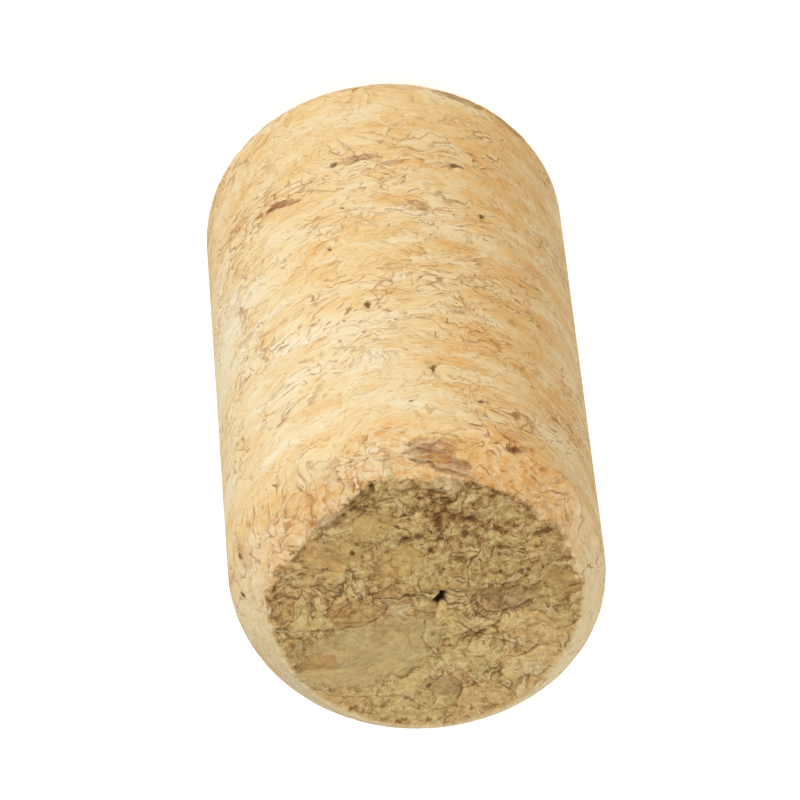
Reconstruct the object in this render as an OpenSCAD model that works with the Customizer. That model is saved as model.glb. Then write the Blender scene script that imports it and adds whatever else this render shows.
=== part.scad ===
// Agglomerated cork stopper: pressed cork granules, ground to a plain cylinder with a
// bevel at each end. It stands on its foot face at z = 0, with its axis along +Z.
// Small openings are left where pressed granules don't quite meet. The head's bevel is a
// little off centre, and a flat is worn into its rim.

/* [Body] */
// Diameter of the side
stopper_d = 22; // [18:0.5:28]
// Length from the foot face to the head face
stopper_l = 40; // [30:1:50]

/* [Bevels] */
// Length that each bevel takes off the side
bevel_l = 2.1; // [1.2:0.1:3]
// Width that each bevel takes off the end face
bevel_w = 1.7; // [1.2:0.1:2.5]
// Radius of the worn edge between a bevel and the side; the edge round the face is crisp
side_edge_r = 1.6; // [0.6:0.1:2.4]
// Mean width of the head's bevel, which is ground off centre
head_bevel_w = 1.8; // [1.4:0.1:2.5]
// How far off centre the head's bevel is
head_off_centre = 0.4; // [0:0.05:0.6]
// How far the flat on the head's rim reaches in from the edge of the head face
head_flat_w = 0.85; // [0.3:0.05:1.2]

/* [Openings between granules] */
// Depth of the deepest opening
opening_depth = 0.8; // [0.4:0.1:1.2]
// Width of the widest opening at its middle
opening_w = 0.7; // [0.4:0.1:1]
// Reach of the longest crack that runs out of an opening
crack_l = 2.4; // [1:0.1:3]
// Number of openings round the foot face
foot_openings = 7; // [0:1:12]
// Number of openings on the side, besides those of its front
back_openings = 16; // [0:1:30]

/* [Crumbled rims] */
// Number of places round the foot face where the rim has crumbled
rim_chips = 11; // [0:1:16]
// Depth of the deepest chip below the edge
chip_depth = 0.55; // [0.3:0.05:0.7]

/* [Layout] */
// Which of the many chance layouts of openings and chips is made
grain_seed = 4; // [1:1:99]

/* [Hidden] */
$fn = 96;

stopper_r = stopper_d / 2;
face_r = stopper_r - bevel_w;
bevel_slope = atan(bevel_l / bevel_w);
head_face_r = stopper_r - head_bevel_w;

// The direction in which the head's bevel is off centre, and that of the flat on its rim
OFF_CENTRE_DIRECTION = 156;
FLAT_DIRECTION = 315;
// The angle at which the cutter of the head's bevel runs out through the side
CUTTER_FLARE = 14;
// How much less steep the flat is than the bevel
FLAT_EASE = 4;

// Openings on the head face: distance from the axis as a share of the face's radius,
// direction from the axis, direction of the first crack, and size as a share of the
// largest opening. Directions are turned from +X towards +Y.
HEAD_OPENINGS = [
    [0.13, 175, 339, 1.00],
    [0.87, 210, 172, 0.50],
    [0.50, 277, 160, 0.45],
    [0.69, 239, 310, 0.40],
    [0.65, 256, 265, 0.45],
    [0.48, 102,  60, 0.35],
];

// Openings on the front of the side, the same way: direction from the axis, height as a
// share of the length, direction of the first crack, and size
FRONT_OPENINGS = [
    [245, 0.26,  20, 0.50],
    [282, 0.37, 170, 0.30],
    [237, 0.38, -15, 0.35],
    [288, 0.46, 200, 0.40],
    [277, 0.63, 150, 0.35],
    [259, 0.79,  75, 0.50],
    [246, 0.86,  10, 0.35],
    [267, 0.89, 185, 0.30],
    [284, 0.25,  60, 0.30],
    [234, 0.95,  15, 0.70],
];

// Chips on the head's rim: direction from the axis, and depth as a share of the deepest
HEAD_CHIPS = [
    [206, 0.45],
    [224, 0.35],
    [247, 0.55],
    [262, 0.40],
    [284, 1.00],
    [297, 0.50],
    [311, 0.40],
    [325, 0.55],
    [341, 0.70],
];

// Where the front ends and the rest of the side starts, and how far round that reaches
BACK_FROM = 320;
BACK_ARC = 260;

// A number from 0 to 1 that looks random, the same each time for the same n and seed
function chance(n) =
    let (wave = sin(n * 127.1 + grain_seed * 311.7) * 4375.85)
    wave - floor(wave);

// A number from low to high, picked by chance
function between(low, high, n) = low + (high - low) * chance(n);

// The half section below mid height with a sharp bevel edge
module sharp_section(bevel_w) {
    polygon([
        [0, 0],
        [stopper_r - bevel_w, 0],
        [stopper_r, bevel_w * tan(bevel_slope)],
        [stopper_r, stopper_l / 2],
        [0, stopper_l / 2]
    ]);
}

// What rounding takes off a corner at the origin. The section's outline comes to the
// corner along +X and turns left there, by turn degrees.
module corner_waste(r, turn) {
    tangent = r * tan(turn / 2);
    difference() {
        polygon([
            [-tangent, 0],
            [0, 0],
            [tangent * cos(turn), tangent * sin(turn)]
        ]);
        translate([-tangent, r]) circle(r);
    }
}

module rounded_section(bevel_w) {
    difference() {
        sharp_section(bevel_w);
        translate([stopper_r, bevel_w * tan(bevel_slope)])
            rotate(bevel_slope) corner_waste(side_edge_r, 90 - bevel_slope);
    }
}

// The half section that the off-centre grinding leaves: the head's bevel, a narrow second
// bevel that eases its edge, and a flare that runs out through the side
module ground_section() {
    corner = [stopper_r, head_bevel_w * tan(bevel_slope)];
    bevel_line = [cos(bevel_slope), sin(bevel_slope)];
    flare_line = [sin(CUTTER_FLARE), cos(CUTTER_FLARE)];
    ease = side_edge_r * tan((90 - CUTTER_FLARE - bevel_slope) / 2);
    polygon([
        [0, 0],
        [head_face_r, 0],
        corner - ease * bevel_line,
        corner + ease * flare_line,
        corner + stopper_l / 2 * flare_line,
        [0, stopper_l / 2]
    ]);
}

// The half with the foot face, which stands on z = 0
module foot_half() {
    rotate_extrude() rounded_section(bevel_w);
}

// The half with the head face, upside down: its first light bevel is in line with the
// side, and its second, wider one is off centre
module head_half() {
    intersection() {
        rotate_extrude() rounded_section(head_bevel_w - head_off_centre - 0.1);
        translate(head_off_centre * [cos(OFF_CENTRE_DIRECTION), sin(OFF_CENTRE_DIRECTION), 0])
            rotate_extrude() ground_section();
    }
}

// How far the edge of the head face is from the axis in a direction
function head_edge(direction) =
    let (turn = direction - OFF_CENTRE_DIRECTION)
    head_off_centre * cos(turn) + sqrt(head_face_r ^ 2 - (head_off_centre * sin(turn)) ^ 2);

// How far the edge of the head face is from the axis, with the flat counted too
function rim_reach(direction) =
    let (turn = direction - FLAT_DIRECTION)
    abs(turn) < 80
        ? min(head_edge(direction), (head_edge(FLAT_DIRECTION) - head_flat_w) / cos(turn))
        : head_edge(direction);

// What the flat takes off the head's rim, where the head face is at z = 0
module head_flat() {
    size = stopper_d;
    rotate(FLAT_DIRECTION) translate([head_edge(FLAT_DIRECTION) - head_flat_w, 0, 0])
        rotate([0, bevel_slope - FLAT_EASE, 0]) translate([-size / 2, -size / 2, 0]) cube(size);
}

module blank() {
    foot_half();
    translate([0, 0, stopper_l]) mirror([0, 0, 1]) head_half();
}

// A crack along +X in the surface z = 0, with a V section. Its floor starts at depth and
// rises to the surface at its tip, and its walls carry on above the surface.
module crack(length, width, depth) {
    above = 0.6;
    height = depth + above;
    half_top = width / 2 * height / depth;
    rise = atan(depth / length);
    translate([0, 0, -depth]) rotate([90, 0, 90]) rotate([-rise, 0, 0])
        translate([0, 0, -width / 4]) linear_extrude(length + width / 2)
            polygon([[0, 0], [half_top, height], [-half_top, height]]);
}

// Three cracks of unlike length that meet where three granules meet
module opening(size, n) {
    depth = opening_depth * size;
    width = opening_w * size;
    for (arm = [0:2])
        rotate(arm * 120 + between(-25, 25, n + arm))
            crack(crack_l * size * (arm == 0 ? 1 : between(0.3, 0.6, n + 3 + arm)), width, depth);
}

module head_openings() {
    for (i = [0:len(HEAD_OPENINGS) - 1])
        let (place = HEAD_OPENINGS[i])
            translate([0, 0, stopper_l]) rotate(place[1])
                translate([place[0] * face_r, 0, 0])
                    rotate(place[2] - place[1]) opening(place[3], 500 + 10 * i);
}

// One ring of openings that leaves the middle of the foot and its rim whole
module foot_openings() {
    for (i = [0:1:foot_openings - 1])
        rotate((i + between(-0.25, 0.25, 10 * i)) * 360 / foot_openings)
            translate([between(0.5, 0.75, 10 * i + 1) * face_r, 0, 0])
                mirror([0, 0, 1]) rotate(360 * chance(10 * i + 2))
                    opening(between(0.3, 0.6, 10 * i + 3), 10 * i + 4);
}

// An opening on the side. Its first crack points turn degrees up from level.
module side_opening(direction, height, turn, size, n) {
    rotate(direction) translate([stopper_r, 0, height])
        rotate([0, 90, 0]) rotate(90 + turn) opening(size, n);
}

// The openings of the front, and others spread round the rest of the side, each at a
// golden section of the arc from the last. Their longest crack lies nearly level, as the
// granules do.
module side_openings() {
    golden = (sqrt(5) - 1) / 2;
    margin = bevel_l + crack_l;
    for (i = [0:len(FRONT_OPENINGS) - 1])
        let (place = FRONT_OPENINGS[i])
            side_opening(place[0], place[1] * stopper_l, place[2], place[3], 800 + 10 * i);
    for (i = [0:1:back_openings - 1])
        let (
            n = 1000 + 10 * i,
            share = (i + between(0.2, 0.8, n)) / back_openings
        )
            side_opening(
                BACK_FROM + BACK_ARC * (golden * i - floor(golden * i)),
                margin + (stopper_l - 2 * margin) * share,
                between(-30, 30, n + 1),
                between(0.25, 0.5, n + 2),
                n + 3
            );
}

// A block that stands on one corner at the origin, with its diagonal along +Z
module corner_block(side) {
    rotate([0, -atan(sqrt(2)), 0]) rotate(-45) cube(side);
}

// A notch where a granule has come off the edge between the foot face and its bevel. It is
// cut by a block's corner, pointed in along the line that halves the edge, edge_r from the
// axis. Share is its depth as a share of the deepest one's.
module rim_chip(edge_r, share, n) {
    tilt = bevel_slope / 2 + between(-15, 15, n);
    translate([edge_r, 0, 0]) rotate([0, 180 - tilt, 0]) rotate(360 * chance(n + 3))
        translate([0, 0, -chip_depth * share]) corner_block(6 * chip_depth);
}

module foot_chips() {
    for (i = [0:1:rim_chips - 1])
        let (n = 3000 + 10 * i)
            rotate((i + between(-0.35, 0.35, n + 2)) * 360 / rim_chips)
                rim_chip(face_r, between(0.35, 1, n + 1), n);
}

module head_chips() {
    for (i = [0:len(HEAD_CHIPS) - 1])
        let (direction = HEAD_CHIPS[i][0])
            rotate(direction) rim_chip(rim_reach(direction), HEAD_CHIPS[i][1], 4000 + 10 * i);
}

module stopper() {
    color("burlywood")
        difference() {
            blank();
            translate([0, 0, stopper_l]) head_flat();
            foot_chips();
            translate([0, 0, stopper_l]) mirror([0, 0, 1]) head_chips();
            head_openings();
            foot_openings();
            side_openings();
        }
}

stopper();
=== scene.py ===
"""The looks of an agglomerated cork stopper, built over its fixed solid.

The stopper is one piece. Its visible form is a fine mesh of the same size, with the grooves
between granules, the openings of the solid and the rough bevels sunk into it. One cork
material colours it by granule, with growth lines, grit, crumbs and the marks of its front.
It also paints light and shade: painted shade in the openings and the small pits, painted
highlights beside the growth lines and the seams, and a far-side bevel painted paler.
"""

from __future__ import annotations

import logging
import math
from dataclasses import dataclass
from enum import Enum

import bmesh
import bpy
import numpy as np
from mathutils import Matrix, Vector
from mathutils.bvhtree import BVHTree


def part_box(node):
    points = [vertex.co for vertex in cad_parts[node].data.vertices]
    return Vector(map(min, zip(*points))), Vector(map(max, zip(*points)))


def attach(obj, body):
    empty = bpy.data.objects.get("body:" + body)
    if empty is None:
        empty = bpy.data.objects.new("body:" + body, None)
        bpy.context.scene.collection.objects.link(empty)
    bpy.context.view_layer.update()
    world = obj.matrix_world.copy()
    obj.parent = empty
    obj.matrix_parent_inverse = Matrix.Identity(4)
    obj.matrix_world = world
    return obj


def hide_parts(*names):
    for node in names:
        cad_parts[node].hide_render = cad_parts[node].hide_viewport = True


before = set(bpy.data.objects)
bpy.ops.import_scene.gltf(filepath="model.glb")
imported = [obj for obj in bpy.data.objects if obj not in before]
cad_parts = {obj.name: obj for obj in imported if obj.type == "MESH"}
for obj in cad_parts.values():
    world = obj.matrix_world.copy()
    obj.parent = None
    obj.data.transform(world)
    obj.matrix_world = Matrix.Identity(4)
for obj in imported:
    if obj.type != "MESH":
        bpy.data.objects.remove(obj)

LOG = logging.getLogger("stopper")
MM = 0.001
HALVINGS = 30

Socket = bpy.types.NodeSocket
Value = Socket | float | tuple
Pair = tuple[float, float]
Triple = tuple[float, float, float]
Colour = tuple[float, float, float, float]
Slots = tuple[int, int, int]


def linear_level(level: int) -> float:
    """Turn a screen level from 0 to 255 into the linear level that a shader takes."""
    share = level / 255
    return share / 12.92 if share <= 0.04045 else ((share + 0.055) / 1.055) ** 2.4


def linear(red: int, green: int, blue: int) -> Colour:
    """Turn a screen colour, from 0 to 255, into the linear colour that a shader takes."""
    return (linear_level(red), linear_level(green), linear_level(blue), 1.0)


WHITE = linear(255, 255, 255)


class TreeKind(Enum):
    """The two kinds of node tree that a granule pattern is built in."""

    SHADER = "ShaderNodeTree"
    GEOMETRY = "GeometryNodeTree"


class SocketKind(Enum):
    """The kinds of socket that the groups here take and give."""

    NUMBER = "NodeSocketFloat"
    VECTOR = "NodeSocketVector"
    COLOUR = "NodeSocketColor"


class Blend(Enum):
    """The ways in which one colour is laid on another."""

    COVER = "MIX"
    STAIN = "MULTIPLY"


class Draw(Enum):
    """What is drawn by chance for each granule or crumb, with the shift that tells it apart."""

    SHADE = 1.0
    CRUMB_SHADE = 2.0
    BROKEN = 3.0
    HUE = 5.0
    JAG = 8.0


@dataclass(frozen=True)
class Lumps:
    """One noise: its size, and what tells it from the others.

    Size is about the width of its lumps in millimetres. Detail is the number of finer layers,
    and rough their strength. Shift moves the noise, and squeeze flattens it along Z.
    """

    size: float
    detail: float = 2.0
    rough: float = 0.5
    shift: Triple = (0.0, 0.0, 0.0)
    squeeze: float = 1.0


class Nodes:
    """Adds nodes to one tree, so that a pattern reads as a formula in the order it is worked out."""

    def __init__(self, tree: bpy.types.NodeTree) -> None:
        """Keep the tree that the nodes go into."""
        self.tree = tree

    def add(self, kind: str, inputs: dict | None = None, **settings: object) -> bpy.types.Node:
        """Add one node.

        Args:
            kind: Blender's name for the node's class.
            inputs: Value or socket for each input, by the input's name or number.
            settings: Value of each of the node's own settings.

        Returns:
            The new node.
        """
        node = self.tree.nodes.new(kind)
        for name, value in settings.items():
            setattr(node, name, value)
        for key, value in (inputs or {}).items():
            self.plug(node.inputs[key], value)
        return node

    def plug(self, socket: Socket, value: Value) -> None:
        """Join a socket to an input, or write a plain value there.

        Args:
            socket: The input.
            value: Another node's output, or a value.
        """
        if isinstance(value, bpy.types.NodeSocket):
            self.tree.links.new(value, socket)
        else:
            socket.default_value = value

    def math(self, operation: str, *values: Value) -> Socket:
        """Work out one number from up to three."""
        return self.add("ShaderNodeMath", dict(enumerate(values)), operation=operation).outputs[0]

    def times(self, first: Value, *factors: Value) -> Socket:
        """Multiply numbers.

        Args:
            first: The first number.
            factors: The others.

        Returns:
            Their product.
        """
        for factor in factors:
            first = self.math("MULTIPLY", first, factor)
        return first

    def plus(self, first: Value, second: Value) -> Socket:
        """Add two numbers."""
        return self.math("ADD", first, second)

    def times_plus(self, value: Value, factor: Value, extra: Value) -> Socket:
        """Multiply a number by a factor and add an extra."""
        return self.math("MULTIPLY_ADD", value, factor, extra)

    def centred(self, share: Value) -> Socket:
        """Take a half from a number, so that one from 0 to 1 is centred on 0."""
        return self.math("SUBTRACT", share, 0.5)

    def larger(self, first: Value, second: Value) -> Socket:
        """Give the larger of two numbers."""
        return self.math("MAXIMUM", first, second)

    def vector(self, operation: str, *values: Value) -> Socket:
        """Work out one vector from one or two."""
        return self.add("ShaderNodeVectorMath", dict(enumerate(values)), operation=operation).outputs[0]

    def scaled(self, vector: Value, factor: Value) -> Socket:
        """Make a vector longer or shorter."""
        return self.add("ShaderNodeVectorMath", {0: vector, "Scale": factor}, operation="SCALE").outputs[0]

    def length(self, vector: Value) -> Socket:
        """Give the length of a vector."""
        return self.add("ShaderNodeVectorMath", {0: vector}, operation="LENGTH").outputs["Value"]

    def split(self, vector: Value) -> tuple[Socket, Socket, Socket]:
        """Give the three parts of a vector."""
        out = self.add("ShaderNodeSeparateXYZ", {0: vector}).outputs
        return out[0], out[1], out[2]

    def join(self, x: Value, y: Value, z: Value) -> Socket:
        """Make a vector of three parts."""
        return self.add("ShaderNodeCombineXYZ", {0: x, 1: y, 2: z}).outputs[0]

    def noise(self, place: Value, lumps: Lumps, output: str = "Fac") -> Socket:
        """Read a noise.

        Args:
            place: Where it is read, in millimetres.
            lumps: What the noise is like.
            output: Fac for a number, or Color for a colour.

        Returns:
            The number or the colour.
        """
        if lumps.squeeze != 1.0:
            place = self.vector("MULTIPLY", place, (1.0, 1.0, lumps.squeeze))
        if any(lumps.shift):
            place = self.vector("ADD", place, lumps.shift)
        node = self.add(
            "ShaderNodeTexNoise",
            {"Vector": place, "Scale": 1 / lumps.size, "Detail": lumps.detail, "Roughness": lumps.rough},
            noise_dimensions="3D",
        )
        return node.outputs[output]

    def cells(self, place: Value, size: float, feature: str = "F1") -> bpy.types.Node:
        """Add a Voronoi pattern whose cells are about size wide."""
        inputs = {"Vector": place, "Scale": 1 / size, "Randomness": 1.0}
        return self.add("ShaderNodeTexVoronoi", inputs, voronoi_dimensions="3D", feature=feature)

    def chance(self, seed: Value, draw: Draw) -> Socket:
        """Give a number from 0 to 1 by chance, the same wherever the seed is the same."""
        seed = self.vector("ADD", seed, (draw.value, draw.value, draw.value))
        return self.add("ShaderNodeTexWhiteNoise", {"Vector": seed}, noise_dimensions="3D").outputs["Value"]

    def ramp(self, value: Value, low: Value, high: Value, start: float = 0.0, end: float = 1.0) -> Socket:
        """Move a number smoothly from start, at low, to end, at high."""
        inputs = {"Value": value, "From Min": low, "From Max": high, "To Min": start, "To Max": end}
        return self.add("ShaderNodeMapRange", inputs, interpolation_type="SMOOTHSTEP").outputs["Result"]

    def mixed(self, share: Value, first: Value, second: Value, slots: Slots, **settings: str) -> Socket:
        """Blend two numbers or two colours by a share from 0 to 1.

        Args:
            share: How much of the second there is.
            first: The first number or colour.
            second: The second.
            slots: Numbers of the inputs of the two, and of the output.
            settings: Value of each of the node's own settings.

        Returns:
            The blend.
        """
        node = self.add("ShaderNodeMix", {}, **settings)
        self.plug(node.inputs[0], share)
        self.plug(node.inputs[slots[0]], first)
        self.plug(node.inputs[slots[1]], second)
        return node.outputs[slots[2]]

    def blend(self, share: Value, first: Value, second: Value) -> Socket:
        """Blend two numbers by a share from 0 to 1."""
        return self.mixed(share, first, second, (2, 3, 0), data_type="FLOAT")

    def tint(self, share: Value, first: Value, second: Value, blend: Blend = Blend.COVER) -> Socket:
        """Lay a second colour on a first, by a share from 0 to 1."""
        return self.mixed(share, first, second, (6, 7, 2), data_type="RGBA", blend_type=blend.value)

    def palette(self, value: Value, stops: tuple[tuple[float, Colour], ...]) -> Socket:
        """Pick a colour from a row of them.

        Args:
            value: Which colour, from 0 to 1.
            stops: The colours, each with its place from 0 to 1.

        Returns:
            The colour.
        """
        node = self.add("ShaderNodeValToRGB", {0: value})
        ramp = node.color_ramp
        while len(ramp.elements) < len(stops):
            ramp.elements.new(1.0)
        for element, (place, colour) in zip(ramp.elements, stops, strict=True):
            element.position = place
            element.color = colour
        return node.outputs[0]


def cleared(owner: bpy.types.Material | bpy.types.World) -> Nodes:
    """Empty the node tree of a material or of a world.

    Args:
        owner: The material or the world.

    Returns:
        The nodes of its tree.
    """
    owner.use_nodes = True
    owner.node_tree.nodes.clear()
    return Nodes(owner.node_tree)


def new_group(
    name: str,
    kind: TreeKind,
    inputs: dict[str, SocketKind],
    outputs: dict[str, SocketKind],
) -> tuple[Nodes, dict[str, Socket], bpy.types.Node]:
    """Start a node group with named sockets.

    Args:
        name: Name of the group.
        kind: Whether materials or a mesh's modifier use it.
        inputs: Kind of each input, by name.
        outputs: Kind of each output, by name.

    Returns:
        The nodes of the group, its inputs by name, and the node that its outputs go to.
    """
    tree = bpy.data.node_groups.new(name, kind.value)
    for socket, sort in inputs.items():
        tree.interface.new_socket(socket, in_out="INPUT", socket_type=sort.value)
    for socket, sort in outputs.items():
        tree.interface.new_socket(socket, in_out="OUTPUT", socket_type=sort.value)
    entry = tree.nodes.new("NodeGroupInput")
    leave = tree.nodes.new("NodeGroupOutput")
    return Nodes(tree), {socket: entry.outputs[socket] for socket in inputs}, leave


@dataclass(frozen=True)
class GranuleGroup:
    """The pressed granules: warped cells, flat along the stopper's axis, some broken into crumbs."""

    width: float = 3.9
    crumb_width: float = 1.35
    broken_share: float = 0.35
    flatness: float = 1.75
    bend: Lumps = Lumps(3.2, 1.5, 0.5, (7.0, 0.0, 0.0))
    bend_reach: float = 3.0
    wobble: Lumps = Lumps(0.7, 1.5, 0.5, (0.0, 9.0, 0.0))
    wobble_reach: float = 0.84
    pressed_well: Lumps = Lumps(2.2, 2.0, 0.6, (3.0, 5.0, 1.0))
    pressed_zone: Pair = (0.35, 0.7)

    def build(self, kind: TreeKind) -> bpy.types.NodeTree:
        """Build the group in one kind of tree.

        Args:
            kind: Whether materials or a mesh's modifier use it.

        Returns:
            The group. Its outputs are the warped place, a colour by chance for each granule,
            and the distance to the granule's border in millimetres.
        """
        nodes, given, leave = new_group(
            f"granules {kind.name.lower()}",
            kind,
            {"Position": SocketKind.VECTOR},
            {"Place": SocketKind.VECTOR, "Chance": SocketKind.COLOUR, "Border": SocketKind.NUMBER},
        )
        place = given["Position"]
        for lumps, reach in ((self.bend, self.bend_reach), (self.wobble, self.wobble_reach)):
            away = nodes.vector("SUBTRACT", nodes.noise(place, lumps, "Color"), (0.5, 0.5, 0.5))
            place = nodes.vector("ADD", place, nodes.scaled(away, reach))
        pressed = nodes.vector("MULTIPLY", place, (1.0, 1.0, self.flatness))
        whole, whole_border = self.pieces(nodes, pressed, self.width)
        small, small_border = self.pieces(nodes, pressed, self.crumb_width)
        luck = nodes.chance(whole, Draw.BROKEN)
        crumb = nodes.math("LESS_THAN", luck, self.broken_share)
        broken = nodes.math("MINIMUM", whole_border, small_border)
        nodes.plug(leave.inputs["Place"], place)
        nodes.plug(leave.inputs["Chance"], nodes.tint(crumb, whole, small))
        nodes.plug(leave.inputs["Border"], nodes.blend(crumb, whole_border, broken))
        return nodes.tree

    @staticmethod
    def pieces(nodes: Nodes, place: Value, width: float) -> tuple[Socket, Socket]:
        """Break space into cells.

        Args:
            nodes: Where the nodes are added.
            place: The place, in millimetres.
            width: About how wide the cells are.

        Returns:
            A colour by chance for each cell, and the distance to the cell's border.
        """
        colour = nodes.cells(place, width).outputs["Color"]
        edge = nodes.cells(place, width, "DISTANCE_TO_EDGE").outputs["Distance"]
        return colour, nodes.times(edge, width)

    def uneven(self, nodes: Nodes, place: Value) -> Socket:
        """Give how plainly the borders between granules show, from 0 to 1."""
        return nodes.ramp(nodes.noise(place, self.pressed_well), *self.pressed_zone)


@dataclass
class StopperShape:
    """The ground form: a cylinder, its bevels, and the flat on the rim of the head.

    All sizes are in millimetres and all angles in degrees. The two driving sizes come from
    the solid, and the others are those that it is made with.
    """

    radius: float
    length: float
    bevel_width: float = 1.7
    bevel_length: float = 2.1
    head_bevel_width: float = 1.8
    head_off_centre: float = 0.4
    off_centre_direction: float = 156.0
    light_bevel_width: float = 1.3
    cutter_flare: float = 14.0
    flat_width: float = 0.85
    flat_direction: float = 315.0
    flat_ease: float = 4.0
    face_edge_wear: float = 0.1
    side_edge_wear: float = 0.4

    @property
    def slope(self) -> float:
        """The angle between an end face and its bevel, in radians."""
        return math.atan2(self.bevel_length, self.bevel_width)

    @property
    def head_middle(self) -> np.ndarray:
        """The middle of the head's wide bevel, as X and Y."""
        turn = math.radians(self.off_centre_direction)
        return self.head_off_centre * np.array([math.cos(turn), math.sin(turn)])

    @property
    def flat_start(self) -> float:
        """How far from the axis the flat starts."""
        turn = math.radians(self.flat_direction - self.off_centre_direction)
        return float(self.ground_edge(np.array([turn]))[0]) - self.flat_width

    def ground_edge(self, turn: np.ndarray) -> np.ndarray:
        """Give how far from the axis the edge of the head face is, without the flat.

        Args:
            turn: Direction from the one in which the bevel is off centre, in radians.

        Returns:
            The distance for each direction.
        """
        face = self.radius - self.head_bevel_width
        aside = self.head_off_centre * np.sin(turn)
        return self.head_off_centre * np.cos(turn) + np.sqrt(face**2 - aside**2)

    def face_edge(self, direction: np.ndarray, head: bool) -> np.ndarray:
        """Give how far from the axis the edge of an end face is.

        Args:
            direction: Direction from +X towards +Y, in radians.
            head: Whether it is the head face, and not the foot face.

        Returns:
            The distance for each direction.
        """
        if not head:
            return np.full_like(direction, self.radius - self.bevel_width)
        edge = self.ground_edge(direction - math.radians(self.off_centre_direction))
        aside = np.cos(direction - math.radians(self.flat_direction))
        least = 0.2
        flat = np.where(aside > least, self.flat_start / np.maximum(aside, least), np.inf)
        return np.minimum(edge, flat)

    @staticmethod
    def blunt(first: np.ndarray, second: np.ndarray, wear: float) -> np.ndarray:
        """Join two faces' distances, with the edge between them worn round."""
        near = np.maximum(wear - np.abs(first - second), 0.0) / wear
        return np.maximum(first, second) + near * near * wear / 4

    def outside(self, places: np.ndarray) -> np.ndarray:
        """Give how far outside the form each place is, and less than 0 inside it.

        Args:
            places: The places, in millimetres.

        Returns:
            The distance for each place.
        """
        x, y, height = places.T
        below = self.length - height
        side = np.hypot(x, y) - self.radius
        sine, cosine = math.sin(self.slope), math.cos(self.slope)
        foot = (side + self.bevel_width) * sine - height * cosine
        light = (side + self.light_bevel_width) * sine - below * cosine
        body = self.blunt(side, foot, self.side_edge_wear)
        body = self.blunt(body, light, self.side_edge_wear)

        middle = self.head_middle
        ground = np.hypot(x - middle[0], y - middle[1]) - self.radius
        wide = (ground + self.head_bevel_width) * sine - below * cosine
        flare = math.radians(self.cutter_flare)
        corner = self.head_bevel_width * math.tan(self.slope)
        flared = ground * math.cos(flare) - (below - corner) * math.sin(flare)
        body = np.maximum(body, self.blunt(wide, flared, self.side_edge_wear))

        turn = math.radians(self.flat_direction)
        tilt = self.slope - math.radians(self.flat_ease)
        reach = x * math.cos(turn) + y * math.sin(turn) - self.flat_start
        body = self.blunt(body, reach * math.sin(tilt) - below * math.cos(tilt), self.face_edge_wear)
        body = self.blunt(body, -below, self.face_edge_wear)
        return self.blunt(body, -height, self.face_edge_wear)

    def crossing(self, starts: np.ndarray, reaches: np.ndarray, low: float, high: float) -> np.ndarray:
        """Give where lines that start inside the form leave it.

        Args:
            starts: Where the lines start.
            reaches: The way that each line goes.
            low: Share of the way that ends inside the form.
            high: Share of the way that ends outside it.

        Returns:
            The places on the form's surface.
        """
        inside, beyond = np.full(len(starts), low), np.full(len(starts), high)
        for _ in range(HALVINGS):
            middle = (inside + beyond) / 2
            out = self.outside(starts + reaches * middle[:, None]) > 0
            beyond = np.where(out, middle, beyond)
            inside = np.where(out, inside, middle)
        return starts + reaches * inside[:, None]


class Where(Enum):
    """The surfaces that a mark lies on.

    On the head, a mark's across and up are millimetres along X and Y. On the side and the
    bevels, across is degrees round from -Y towards +X, and up is the height in millimetres.
    """

    HEAD = "head"
    SIDE = "side"


class GranuleKind(Enum):
    """What a granule that stands out is made of."""

    PALE = "pale"
    OCHRE = "ochre"
    HONEY = "honey"
    UMBER = "umber"
    BARK = "bark"
    ROSE = "rose"
    ASH = "ash"
    RUST = "rust"
    MOSS = "moss"


@dataclass(frozen=True)
class Oval:
    """One granule that stands out from its neighbours, or one small pit, painted as a dark brown spot of
    shade.

    Length and width are in millimetres, and turn is in degrees from level.
    """

    where: Where
    across: float
    up: float
    length: float
    width: float
    turn: float = 0.0


@dataclass(frozen=True)
class Seam:
    """One dark line between granules or along a crack, as points across and up."""

    where: Where
    points: tuple[Pair, ...]
    weight: float = 0.6


@dataclass(frozen=True)
class Tone:
    """A soft change over a reach in millimetres. A change of shade below 0 is paler."""

    where: Where
    across: float
    up: float
    reach: float
    amount: float


@dataclass(frozen=True)
class Marks:
    """All that was placed on the stopper, with the zones where the head is crumbly."""

    granules: dict[GranuleKind, tuple[Oval, ...]]
    pits: tuple[Oval, ...]
    seams: tuple[Seam, ...]
    tones: tuple[Tone, ...]
    crumbs: tuple[Tone, ...]


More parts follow.
